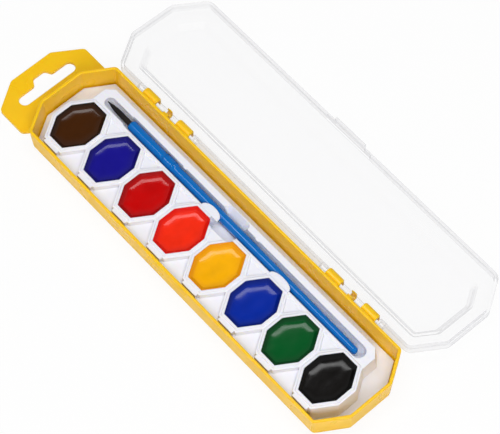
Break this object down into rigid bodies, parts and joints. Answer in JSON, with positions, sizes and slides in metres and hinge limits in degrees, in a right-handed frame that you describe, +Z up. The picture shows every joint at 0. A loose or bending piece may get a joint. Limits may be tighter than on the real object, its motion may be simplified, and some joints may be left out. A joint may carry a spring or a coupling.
{
  "type": "watercolour paint set",
  "caption": "Long eight-sided paint box with a hang tab, hinged clear lid, lift-out tray of paint cakes and a brush in its groove.",
  "frame": {"origin": "middle of the case's underside", "axes": "+X along the case away from the hang tab, +Y towards the hinges and the open lid, +Z up"},
  "size_m": [0.2113, 0.1004, 0.012],
  "materials": {
    "yellow_plastic": "satin",
    "clear_plastic": "clear gloss",
    "white_plastic": "satin",
    "brown_paint": "glossy dried paint",
    "violet_paint": "glossy dried paint",
    "red_paint": "glossy dried paint",
    "vermilion_paint": "glossy dried paint",
    "yellow_paint": "glossy dried paint",
    "blue_paint": "glossy dried paint",
    "green_paint": "glossy dried paint",
    "black_paint": "glossy dried paint",
    "blue_plastic": "gloss",
    "dark_bristle": "matte"
  },
  "bodies": {
    "case": {"base_case": "yellow_plastic"},
    "lid": {"lid": "clear_plastic"},
    "tray": {"paint_tray": "white_plastic", "paint_brown": "brown_paint", "paint_violet": "violet_paint", "paint_red": "red_paint", "paint_vermilion": "vermilion_paint", "paint_yellow": "yellow_paint", "paint_blue": "blue_paint", "paint_green": "green_paint", "paint_black": "black_paint"},
    "brush": {"brush_sleeve": "blue_plastic", "brush_handle": "blue_plastic", "brush_bristles": "dark_bristle"}
  },
  "joints": [
    {"name": "lid_hinge", "type": "hinge", "parent": "case", "child": "lid", "pos_m": [0, 0.0254, 0.0094], "axis": [1, 0, 0], "range_deg": [0, 183.4]},
    {"name": "tray_lift", "type": "slide", "parent": "case", "child": "tray", "axis": [0, 0, 1], "range_m": [0, 0.045]},
    {"name": "brush_lift", "type": "slide", "parent": "tray", "child": "brush", "axis": [0, 0, 1], "range_m": [0, 0.03]}
  ]
}
